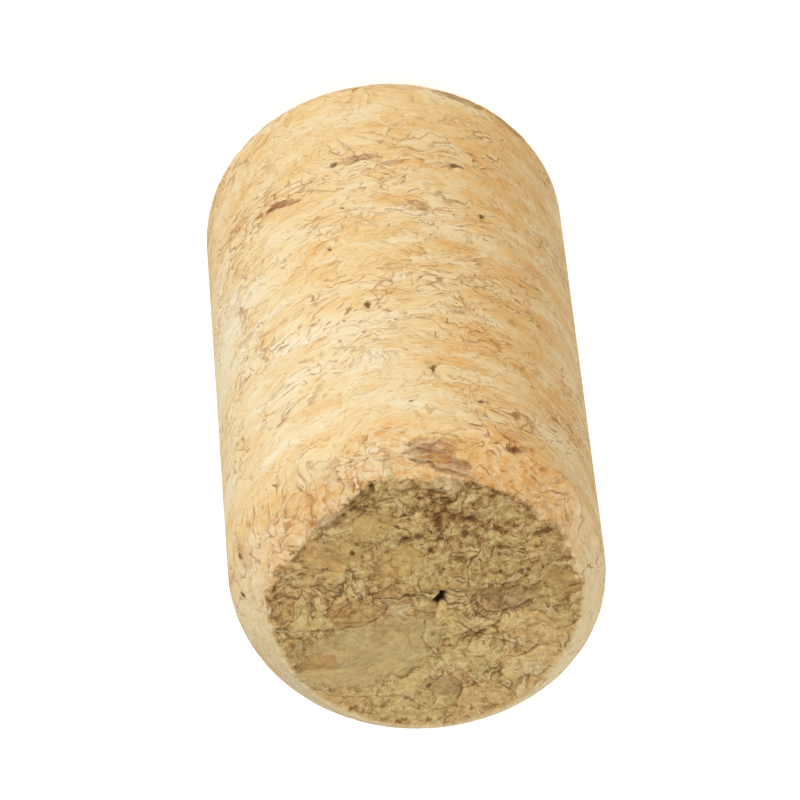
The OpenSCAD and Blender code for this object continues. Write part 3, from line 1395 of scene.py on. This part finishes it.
    def face_colour(self) -> Socket:
        """Work out the colour of the cut end faces.

        Returns:
            The colour.
        """
        nodes, face = self.nodes, self.face
        crumb_shade = nodes.chance(self.crumb["Color"], Draw.CRUMB_SHADE)
        mottle = nodes.times_plus(crumb_shade, face.crumb_shade, face.crumb_ground)
        mottle = nodes.times_plus(self.gap, face.crumb_gap, mottle)
        crumbs = nodes.times(self.specks, nodes.blend(self.front, *face.grit))
        crumbs = nodes.times_plus(self.sand, face.sand, crumbs)
        crumbs = nodes.times_plus(mottle, self.crumbly, crumbs)
        level = nodes.times_plus(nodes.centred(self.patchy), face.patchy, face.ground)
        level = nodes.plus(level, nodes.times_plus(self.shade, face.shade, face.shade_ground))
        level = nodes.plus(nodes.times_plus(crumbs, self.calm, level), self.tone)
        colour = nodes.palette(nodes.larger(level, 0.0), face.stops)
        hue = nodes.ramp(nodes.chance(self.granule["Chance"], Draw.HUE), *face.hue_zone)
        colour = nodes.tint(1.0, colour, nodes.tint(hue, face.rosy, face.mossy), Blend.STAIN)
        # Painted highlight beside the growth lines.
        colour = nodes.tint(nodes.times(self.crest, face.crest_highlight_share), colour, face.crest)
        colour = nodes.tint(nodes.times(self.line, face.line_share), colour, face.line)
        return nodes.tint(nodes.times(self.dash, face.dash_share), colour, self.marks.fleck)

    def with_borders(self, colour: Socket) -> Socket:
        """Lay the borders between granules on a colour.

        Args:
            colour: The colour.

        Returns:
            The colour with the borders.
        """
        nodes, borders, end = self.nodes, self.borders, self.on_end
        side_share = nodes.blend(self.many_lines, borders.where_few_lines, 1.0)
        busy = nodes.times(self.granules.uneven(nodes, self.place), nodes.blend(end, side_share, 1.0))
        edge = nodes.ramp(self.granule["Border"], nodes.blend(busy, *borders.width), 0.0)
        least, most = nodes.blend(end, *borders.least), nodes.blend(end, *borders.most)
        share = nodes.times(edge, self.faint, nodes.blend(busy, least, most))
        return nodes.tint(share, colour, nodes.tint(self.on_face, self.side.line, self.face.line))

    def with_granules(self, colour: Socket, tint: GranuleTint) -> Socket:
        """Colour the granules of one kind, with feathered ends on the side.

        Args:
            colour: The colour before.
            tint: How the granules are coloured.

        Returns:
            The colour with those granules.
        """
        nodes, face, edge = self.nodes, self.on_face, self.edge
        inside = nodes.times_plus(self.wobble, edge.wobble, self.kept(tint.kind.value))
        feather = nodes.times(nodes.centred(self.fibre), nodes.blend(face, *edge.feather))
        start, end = nodes.blend(face, *edge.start), nodes.blend(face, *edge.end)
        strength = nodes.ramp(self.fibre, *edge.fibre_zone, tint.share, tint.share / 2)
        share = nodes.times(nodes.ramp(nodes.plus(feather, inside), start, end), strength)
        share = nodes.times(share, nodes.blend(self.on_end, tint.on_side, 1.0))
        colour = nodes.tint(share, colour, tint.colour, tint.blend)
        outline = nodes.times(nodes.ramp(inside, *edge.outline_zone), nodes.ramp(inside, *edge.outline_end))
        outline = nodes.times(outline, self.flecked, nodes.blend(face, 0.0, tint.outline))
        return nodes.tint(outline, colour, self.face.line)

    def with_seams(self, colour: Socket) -> Socket:
        """Lay the seams on a colour, each with a painted highlight beside it, as if a lip caught the light.

        Args:
            colour: The colour.

        Returns:
            The colour with the seams.
        """
        nodes, marks = self.nodes, self.marks
        aside, away, weight = nodes.split(self.kept("seam", "Vector"))
        aside = nodes.times_plus(self.wobble, marks.seam_wobble, aside)
        aside = nodes.times_plus(self.specks, marks.seam_grit, aside)
        close = nodes.ramp(away, *marks.seam_reach)
        # A pale line beside each seam, in the crest's colour: a painted highlight.
        from_lip_highlight = nodes.math("ABSOLUTE", nodes.math("SUBTRACT", aside, marks.lip_highlight_aside))
        lip_highlight = nodes.times(nodes.ramp(from_lip_highlight, *marks.lip_highlight_zone), close, weight, marks.lip_highlight_share)
        colour = nodes.tint(lip_highlight, colour, self.face.crest)
        gaps = nodes.ramp(self.fibre, *marks.seam_gap_zone)
        whole = nodes.blend(nodes.times(weight, self.on_face), gaps, 1.0)
        width = nodes.times_plus(weight, marks.seam_width_by_weight, marks.seam_width)
        seam = nodes.times(nodes.ramp(nodes.math("ABSOLUTE", aside), width, marks.seam_core), close, weight)
        seam = nodes.times(seam, whole, self.flecked, nodes.blend(self.on_end, marks.seam_on_side, 1.0))
        return nodes.tint(seam, colour, self.face.line)

    def with_pits(self, colour: Socket) -> Socket:
        """Lay the pits on a colour as spots of painted shade, and paint shade into the openings by their
        depth.

        Args:
            colour: The colour.

        Returns:
            The colour with the painted shade of the pits and the openings.
        """
        nodes, marks = self.nodes, self.marks
        along, across, away = nodes.split(self.kept("pit_shade", "Vector"))
        oval = nodes.length(nodes.join(along, across, 0.0))
        oval = nodes.times_plus(self.wobble, marks.pit_wobble, oval)
        oval = nodes.times_plus(self.specks, marks.pit_grit, oval)
        close = nodes.ramp(away, *marks.pit_reach)
        # Each pit is a dark brown spot of painted shade; the mesh has no hole there.
        pit_shade = nodes.times(nodes.ramp(oval, *marks.pit_zone), close, marks.pit_share)
        colour = nodes.tint(pit_shade, colour, marks.pit_shade)
        # The openings are darkened by their depth: painted shade, near black on the faces and the pits'
        # brown on the side.
        sunk = nodes.times_plus(self.specks, marks.hollow_shade_grit, self.kept("opening"))
        hollow_shade = nodes.tint(self.on_face, marks.pit_shade, marks.hollow_shade)
        return nodes.tint(nodes.ramp(sunk, *marks.hollow_shade_zone), colour, hollow_shade)

    def bump(self) -> Socket:
        """Roughen the surface with grit and with the gaps between crumbs.

        Returns:
            The normal.
        """
        nodes, wear = self.nodes, self.wear
        share = nodes.ramp(self.rim, *wear.bump_zone)
        height = nodes.times(self.grit, nodes.blend(share, *wear.grit_height))
        gaps = nodes.times(self.gap, self.crumbly, nodes.blend(share, *wear.crumb_gap_height))
        height = nodes.times(nodes.plus(height, gaps), MM)
        inputs = {"Height": height, "Strength": 1.0, "Distance": 1.0}
        return nodes.add("ShaderNodeBump", inputs).outputs["Normal"]

    def build(self) -> bpy.types.Material:
        """Build the material.

        Returns:
            The material.
        """
        nodes = self.nodes
        share = nodes.ramp(self.rim, *self.wear.face_colour_zone)
        colour = self.with_borders(nodes.tint(share, self.side_colour(), self.face_colour()))
        for tint in GRANULE_TINTS:
            colour = self.with_granules(colour, tint)
        colour = self.with_pits(self.with_seams(colour))
        inputs = {
            "Base Color": colour,
            "Roughness": nodes.ramp(self.grit, *self.roughness_zone, *self.roughness),
            "Specular IOR Level": self.shine,
            "Normal": self.bump(),
        }
        shader = nodes.add("ShaderNodeBsdfPrincipled", inputs)
        nodes.add("ShaderNodeOutputMaterial", {"Surface": shader.outputs["BSDF"]})
        return self.material


@dataclass(frozen=True)
class Lamp:
    """A square soft lamp, with its place and width in metres and its power in watts."""

    name: str
    place: Triple
    width: float
    power: float


@dataclass
class Studio:
    """A plain white floor, soft lamps and the camera, in metres.

    Sight is the direction from the middle of the stopper to the camera.
    """

    target: Vector
    sight: Triple = (0.0, -0.5904, 0.8071)
    distance: float = 0.449
    up: Triple = (-0.0973, -0.8033, -0.5876)
    lens: float = 336.0
    sensor_width: float = 36.0
    clip_start: float = 0.01
    floor_size: float = 2.4
    floor_grey: Colour = (0.8, 0.8, 0.8, 1.0)
    floor_glow: float = 0.5
    sky: float = 0.47
    lamps: tuple[Lamp, ...] = (
        Lamp("key", (0.38, -0.72, 0.36), 0.5, 4.0),
        Lamp("fill", (-0.5, 0.25, 0.7), 0.6, 1.9),
    )

    def build(self) -> None:
        """Build the floor, the lamps, the world and the camera."""
        bpy.context.scene.view_settings.view_transform = "Standard"
        self.floor()
        self.world()
        for lamp in self.lamps:
            self.lamp(lamp)
        self.camera()

    def floor(self) -> None:
        """Make the floor, white to the camera and a plain pale grey to the light it throws back."""
        form = bmesh.new()
        bmesh.ops.create_grid(form, x_segments=1, y_segments=1, size=self.floor_size / 2)
        mesh = bpy.data.meshes.new("floor")
        form.to_mesh(mesh)
        form.free()
        plane = bpy.data.objects.new("floor", mesh)
        bpy.context.scene.collection.objects.link(plane)
        material = bpy.data.materials.new("floor paper")
        nodes = cleared(material)
        path = nodes.add("ShaderNodeLightPath").outputs
        seen = nodes.larger(path["Is Camera Ray"], path["Is Glossy Ray"])
        colour = nodes.tint(seen, self.floor_grey, WHITE)
        paper = nodes.add("ShaderNodeBsdfDiffuse", {"Color": colour})
        glow = nodes.add("ShaderNodeEmission", {"Strength": nodes.times(seen, self.floor_glow)})
        both = nodes.add("ShaderNodeAddShader", {0: paper.outputs[0], 1: glow.outputs[0]})
        nodes.add("ShaderNodeOutputMaterial", {"Surface": both.outputs[0]})
        mesh.materials.append(material)

    def world(self) -> None:
        """Make an even pale light from all round, white where the camera sees it."""
        world = bpy.data.worlds.new("studio")
        bpy.context.scene.world = world
        nodes = cleared(world)
        path = nodes.add("ShaderNodeLightPath").outputs
        strength = nodes.blend(path["Is Camera Ray"], self.sky, 1.0)
        background = nodes.add("ShaderNodeBackground", {"Color": WHITE, "Strength": strength})
        nodes.add("ShaderNodeOutputWorld", {"Surface": background.outputs[0]})

    def lamp(self, lamp: Lamp) -> None:
        """Add a lamp that faces the stopper.

        Args:
            lamp: The lamp.
        """
        data = bpy.data.lights.new(lamp.name, "AREA")
        data.shape = "SQUARE"
        data.size = lamp.width
        data.energy = lamp.power
        light = bpy.data.objects.new(lamp.name, data)
        light.location = Vector(lamp.place)
        light.rotation_mode = "QUATERNION"
        light.rotation_quaternion = (self.target - light.location).to_track_quat("-Z", "Y")
        bpy.context.scene.collection.objects.link(light)

    def camera(self) -> None:
        """Make the camera, aimed at the target with its up direction as given."""
        data = bpy.data.cameras.new("camera")
        data.lens = self.lens
        data.sensor_width = self.sensor_width
        data.clip_start = self.clip_start
        camera = bpy.data.objects.new("camera", data)
        place = self.target + Vector(self.sight) * self.distance
        back = (place - self.target).normalized()
        right = Vector(self.up).cross(back).normalized()
        turn = Matrix((right, back.cross(right), back)).transposed()
        camera.matrix_world = Matrix.Translation(place) @ turn.to_4x4()
        bpy.context.scene.collection.objects.link(camera)
        bpy.context.scene.camera = camera


HEAD, SIDE = Where.HEAD, Where.SIDE

FRONT_GRANULES = {
    GranuleKind.PALE: (
        Oval(HEAD, -6.2, 5.6, 1.4, 1.3, 0),
        Oval(HEAD, -1.7, 5.0, 1.1, 0.5, 35),
        Oval(HEAD, 1.3, 0.4, 1.6, 0.7, 12),
        Oval(SIDE, 5.0, 39.25, 3.6, 0.9, 0),
        Oval(SIDE, -11.0, 39.8, 3.6, 0.6, -10),
        Oval(SIDE, 18.5, 8.6, 3.0, 1.5, 4),
        Oval(SIDE, -19.0, 14.0, 3.6, 1.6, 0),
        Oval(SIDE, 4.0, 9.3, 5.0, 1.1, 4),
        Oval(SIDE, -18.0, 17.8, 3.2, 1.1, 0),
        Oval(SIDE, 6.0, 28.5, 9.0, 2.6, 4),
        Oval(SIDE, 24.0, 33.4, 5.6, 3.0, 12),
    ),
    GranuleKind.OCHRE: (
        Oval(HEAD, 6.3, 3.7, 2.6, 1.3, 5),
        Oval(HEAD, 2.3, -5.8, 3.2, 2.2, 20),
        Oval(HEAD, 4.7, -3.9, 4.4, 2.2, -8),
        Oval(HEAD, 1.1, -3.0, 3.4, 2.2, 40),
        Oval(SIDE, 46.0, 39.2, 4.2, 2.2, 30),
        Oval(SIDE, 62.0, 39.0, 3.0, 2.2, 10),
        Oval(SIDE, -50.0, 38.8, 5.0, 2.0, 0),
        Oval(SIDE, -68.0, 38.8, 3.0, 1.8, 0),
        Oval(SIDE, 37.4, 6.6, 0.7, 1.8, -30),
        Oval(SIDE, -47.0, 22.6, 5.5, 6.0, 10),
        Oval(SIDE, 7.0, 21.4, 4.6, 2.4, 4),
    ),
    GranuleKind.HONEY: (
        Oval(SIDE, -19.0, 38.5, 2.0, 1.2, -10),
    ),
    GranuleKind.UMBER: (
        Oval(HEAD, 3.6, 0.6, 4.0, 2.2, -6),
        Oval(HEAD, 6.3, 3.7, 2.4, 1.1, 5),
        Oval(HEAD, -8.3, -0.5, 2.0, 2.4, 20),
        Oval(HEAD, -1.6, -5.6, 1.8, 1.1, 80),
        Oval(SIDE, 53.0, 21.6, 1.6, 0.8, -20),
        Oval(SIDE, -33.7, 37.0, 1.7, 0.8, 0),
        Oval(SIDE, 72.0, 38.0, 1.6, 1.0, 60),
        Oval(SIDE, 36.3, 7.05, 1.5, 0.8, -50),
        Oval(SIDE, -11.0, 2.5, 2.6, 0.6, 0),
    ),
    GranuleKind.BARK: (
        Oval(HEAD, 4.4, -6.6, 2.6, 1.0, 30),
        Oval(SIDE, -13.0, 39.3, 4.0, 1.0, -15),
        Oval(SIDE, -20.0, 39.62, 1.8, 0.5, -15),
        Oval(SIDE, -30.0, 2.5, 3.6, 0.9, 0),
        Oval(SIDE, -49.0, 2.5, 3.2, 1.0, 0),
    ),
    GranuleKind.ROSE: (
        Oval(HEAD, -4.9, 0.3, 3.4, 2.0, 5),
        Oval(HEAD, -2.9, 2.5, 1.0, 0.5, 25),
        Oval(HEAD, -0.9, 6.2, 2.6, 1.5, -10),
        Oval(SIDE, -9.0, 38.5, 3.0, 0.8, -4),
    ),
    GranuleKind.ASH: (
        Oval(SIDE, 6.4, 10.0, 2.8, 0.7, 4),
        Oval(SIDE, -5.4, 10.7, 1.7, 0.45, 12),
    ),
    GranuleKind.RUST: (
        Oval(SIDE, 32.3, 11.6, 2.7, 0.6, -32),
        Oval(SIDE, 37.4, 11.35, 0.9, 0.5, -10),
    ),
    GranuleKind.MOSS: (
        Oval(HEAD, 3.4, 3.2, 8.8, 5.0, 17),
    ),
}

FRONT_PITS = (
    Oval(HEAD, -1.4, -6.2, 0.75, 0.6),
    Oval(HEAD, -1.5, -5.5, 0.6, 0.95),
    Oval(HEAD, 0.5, -4.6, 1.1, 0.6, 20),
    Oval(HEAD, -0.3, -4.8, 0.8, 0.55),
    Oval(HEAD, -0.9, -3.7, 0.5, 0.38),
    Oval(HEAD, -3.3, -5.6, 1.1, 0.5, -20),
    Oval(HEAD, -3.0, -4.6, 0.5, 0.8),
    Oval(HEAD, -4.8, -1.7, 0.4, 0.3),
    Oval(HEAD, -7.6, -4.3, 1.4, 0.45, 10),
    Oval(HEAD, -9.1, -0.2, 0.6, 0.2, 5),
    Oval(HEAD, -0.1, 6.1, 0.3, 0.3),
    Oval(HEAD, 7.5, -2.6, 0.35, 0.3),
    Oval(HEAD, 3.6, -4.0, 0.3, 0.4),
    Oval(HEAD, -3.3, 2.6, 0.8, 0.3, 20),
    Oval(SIDE, 37.6, 11.3, 0.5, 0.25, 0),
    Oval(SIDE, 12.3, 14.7, 0.35, 0.3),
    Oval(SIDE, 17.7, 18.4, 0.35, 0.45),
    Oval(SIDE, -25.4, 10.2, 1.0, 0.22, -12),
    Oval(SIDE, 7.4, 25.1, 0.4, 0.45),
    Oval(SIDE, -10.7, 31.6, 1.3, 0.26, 20),
    Oval(SIDE, -10.9, 31.9, 0.28, 1.1),
    Oval(SIDE, -24.0, 34.5, 0.75, 0.42),
    Oval(SIDE, -3.3, 35.2, 0.35, 0.2),
    Oval(SIDE, -32.5, 14.9, 0.45, 0.35),
    Oval(SIDE, 13.9, 10.0, 0.45, 0.5),
    Oval(SIDE, -35.2, 37.9, 1.5, 0.5, 15),
    Oval(SIDE, -32.4, 37.4, 0.9, 0.3, -30),
    Oval(SIDE, 73.7, 37.7, 0.5, 0.5),
    Oval(SIDE, 87.2, 38.3, 0.4, 0.4),
)

FRONT_SEAMS = (
    Seam(HEAD, ((-1.0, -0.1), (-0.1, -0.45), (0.9, -0.45), (2.1, -0.4)), 1.0),
    Seam(HEAD, ((2.1, -0.4), (1.8, 0.1), (2.2, 0.65), (3.6, 1.4), (5.4, 1.5), (8.4, 1.0)), 0.75),
    Seam(HEAD, ((-0.2, 1.6), (0.0, 2.6), (-0.3, 3.4), (-1.1, 4.7), (-0.9, 5.4), (-0.2, 6.2))),
    Seam(HEAD, ((-1.1, 4.7), (-2.4, 5.6), (-3.0, 6.6))),
    Seam(HEAD, ((7.4, 4.8), (6.7, 5.6), (5.4, 6.3), (3.7, 6.6), (1.7, 6.6), (0.4, 7.6))),
    Seam(HEAD, ((-1.7, -0.3), (-2.7, 0.0), (-3.1, 0.6)), 0.8),
    Seam(HEAD, ((-1.7, 0.2), (-2.4, 0.4), (-3.0, 1.0), (-3.6, 1.5)), 0.9),
    Seam(HEAD, ((-1.8, 0.7), (-2.4, 0.9), (-2.8, 1.4)), 0.8),
    Seam(HEAD, ((-3.2, -0.2), (-3.3, 0.4), (-3.8, 1.1), (-4.6, 1.3), (-5.6, 1.0), (-6.3, 0.6)), 0.8),
    Seam(HEAD, ((-4.9, -0.4), (-4.8, 0.5)), 0.6),
    Seam(HEAD, ((-2.0, 1.8), (-2.8, 2.3), (-3.3, 2.7)), 0.8),
    Seam(HEAD, ((-3.3, 3.1), (-4.1, 3.1), (-5.9, 4.0)), 0.7),
    Seam(HEAD, ((-5.5, 5.2), (-5.7, 6.2), (-6.5, 6.4), (-7.1, 5.7))),
    Seam(HEAD, ((5.8, -5.6), (4.9, -6.2), (3.7, -7.1), (2.8, -7.6))),
    Seam(HEAD, ((-3.6, -3.2), (-2.9, -2.2), (-2.9, -0.9)), 0.8),
    Seam(HEAD, ((-3.4, -0.4), (-4.3, -0.8), (-5.3, -0.7), (-6.3, -0.2)), 0.6),
    Seam(HEAD, ((-4.4, -2.4), (-6.2, -2.2), (-7.4, -2.6))),
    Seam(HEAD, ((7.6, -3.0), (7.9, -2.6), (7.6, -2.2), (7.2, -2.5), (7.6, -3.0))),
    Seam(SIDE, ((9.0, 38.9), (1.0, 38.95), (-6.0, 39.3), (-14.0, 39.6), (-24.0, 39.9)), 0.8),
    Seam(SIDE, ((1.3, 38.84), (-3.3, 38.2), (-9.1, 37.95), (-16.0, 38.0), (-20.2, 38.3)), 0.9),
    Seam(SIDE, ((0.0, 38.9), (-3.1, 38.6), (-11.4, 38.3), (-18.7, 38.68)), 0.7),
    Seam(SIDE, ((-2.0, 38.9), (-6.0, 38.75), (-12.0, 38.8), (-17.0, 39.1)), 0.5),
    Seam(SIDE, ((24.0, 8.0), (20.0, 7.3), (14.0, 7.5), (10.0, 8.6)), 0.5),
    Seam(SIDE, ((25.0, 9.3), (20.0, 9.9), (14.0, 9.5))),
    Seam(SIDE, ((-18.0, 8.8), (-23.0, 8.2), (-28.0, 8.8), (-33.0, 9.8)), 0.7),
    Seam(SIDE, ((-20.0, 9.6), (-25.0, 9.4), (-30.0, 10.4)), 0.7),
    Seam(SIDE, ((-38.0, 17.0), (-41.0, 16.3), (-45.0, 16.7), (-46.5, 17.8), (-42.0, 18.4)), 0.6),
    Seam(SIDE, ((-37.0, 18.6), (-43.0, 19.2), (-49.0, 18.6)), 0.5),
    Seam(SIDE, ((-12.0, 22.2), (-18.0, 21.8), (-24.0, 22.6), (-29.0, 23.6))),
    Seam(SIDE, ((-14.0, 23.6), (-20.0, 23.4), (-26.0, 24.6))),
    Seam(SIDE, ((-20.0, 26.6), (-27.0, 26.4), (-34.0, 27.8)), 0.5),
    Seam(SIDE, ((-24.0, 28.6), (-31.0, 28.9), (-38.0, 30.2)), 0.5),
    Seam(SIDE, ((21.0, 29.6), (17.0, 28.7), (12.0, 29.0), (8.0, 28.6))),
    Seam(SIDE, ((42.0, 38.4), (32.0, 38.2), (21.0, 38.0), (16.0, 37.4))),
    Seam(SIDE, ((46.0, 38.8), (34.0, 38.6), (24.0, 38.5))),
    Seam(SIDE, ((13.5, 24.3), (10.0, 24.2), (6.5, 23.9), (3.0, 24.3))),
    Seam(SIDE, ((-2.0, 20.6), (-5.0, 21.6), (-4.0, 23.4))),
)

FRONT_TONES = (
    Tone(SIDE, 70.0, 20.0, 8.0, -0.34),
    Tone(SIDE, 10.0, 32.0, 5.5, -0.2),
    Tone(SIDE, 42.0, 32.0, 6.0, -0.2),
    Tone(SIDE, -42.0, 23.0, 7.0, 0.22),
    Tone(SIDE, -36.0, 32.0, 5.0, 0.1),
    Tone(SIDE, 0.0, 3.0, 6.0, -0.08),
    Tone(SIDE, -36.0, 8.5, 6.0, 0.18),
    Tone(SIDE, 11.0, 8.5, 4.5, -0.14),
    Tone(SIDE, 35.0, 14.0, 4.0, 0.08),
    Tone(SIDE, 15.0, 21.5, 3.5, 0.07),
    Tone(SIDE, -12.0, 16.5, 3.5, -0.12),
    Tone(SIDE, -22.0, 23.5, 3.5, -0.07),
    Tone(SIDE, 27.0, 32.0, 4.0, 0.08),
    Tone(SIDE, 51.0, 35.0, 3.0, -0.1),
    Tone(SIDE, 6.0, 38.8, 3.5, 0.08),
    Tone(SIDE, -35.5, 39.0, 2.4, 0.28),
    Tone(SIDE, -6.0, 39.2, 2.0, 0.12),
    Tone(SIDE, 30.0, 38.9, 2.4, 0.17),
    Tone(SIDE, -85.0, 24.0, 7.0, -0.12),
    Tone(HEAD, 0.0, -6.0, 4.5, -0.03),
    Tone(HEAD, -6.0, -2.0, 4.0, -0.03),
    Tone(HEAD, -5.0, -6.5, 2.6, -0.08),
    Tone(HEAD, -4.4, 4.6, 3.4, -0.17),
    Tone(HEAD, -2.2, 0.9, 1.2, 0.14),
    Tone(HEAD, 5.0, 6.4, 3.0, 0.11),
    Tone(HEAD, 0.5, 8.4, 2.0, 0.02),
    Tone(HEAD, 0.5, -1.5, 2.0, -0.08),
    Tone(HEAD, 5.0, -4.6, 2.4, -0.07),
    Tone(HEAD, -6.9, -4.4, 1.2, 0.1),
    Tone(HEAD, -1.3, -6.8, 1.1, 0.2),
    Tone(HEAD, -1.5, -5.2, 0.9, 0.18),
    Tone(HEAD, 0.4, -4.9, 0.8, 0.18),
    Tone(HEAD, -3.2, -5.5, 1.0, 0.18),
    Tone(HEAD, -7.3, -3.2, 1.2, 0.2),
    Tone(HEAD, 4.0, -1.5, 2.6, -0.08),
    Tone(HEAD, 3.0, 5.0, 5.0, -0.02),
)

HEAD_CRUMBS = (
    Tone(HEAD, -1.5, -7.0, 3.2, 0.85),
    Tone(HEAD, -5.2, -4.8, 3.0, 0.55),
    Tone(HEAD, 3.4, -7.4, 2.2, 0.6),
    Tone(HEAD, 7.3, -2.6, 1.8, 0.4),
    Tone(HEAD, -8.0, -0.5, 2.0, 0.7),
    Tone(HEAD, -5.0, 3.6, 3.0, 0.4),
    Tone(HEAD, -1.8, 2.9, 2.0, 0.3),
    Tone(HEAD, -1.4, -4.6, 1.6, 0.7),
    Tone(HEAD, 2.0, 8.0, 3.0, 0.4),
)

FRONT_MARKS = Marks(FRONT_GRANULES, FRONT_PITS, FRONT_SEAMS, FRONT_TONES, HEAD_CRUMBS)


def main() -> None:
    """Build the stopper, dress it and light it."""
    logging.basicConfig(level=logging.INFO, format="%(message)s")
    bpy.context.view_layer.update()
    low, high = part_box("stopper")
    shape = StopperShape(radius=(high.x - low.x) / 2 / MM, length=(high.z - low.z) / MM)
    granules = GranuleGroup()

    body = StopperBody(shape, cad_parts["stopper"])
    piece = body.build(ReliefModifier(granules), FRONT_MARKS)
    piece.data.materials.clear()
    piece.data.materials.append(CorkMaterial(granules).build())
    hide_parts("stopper")
    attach(piece, "root")
    LOG.info("%s: %d faces", piece.name, len(piece.data.polygons))

    Studio(target=Vector((0.0, 0.0, shape.length / 2 * MM))).build()


if __name__ == "__main__":
    main()
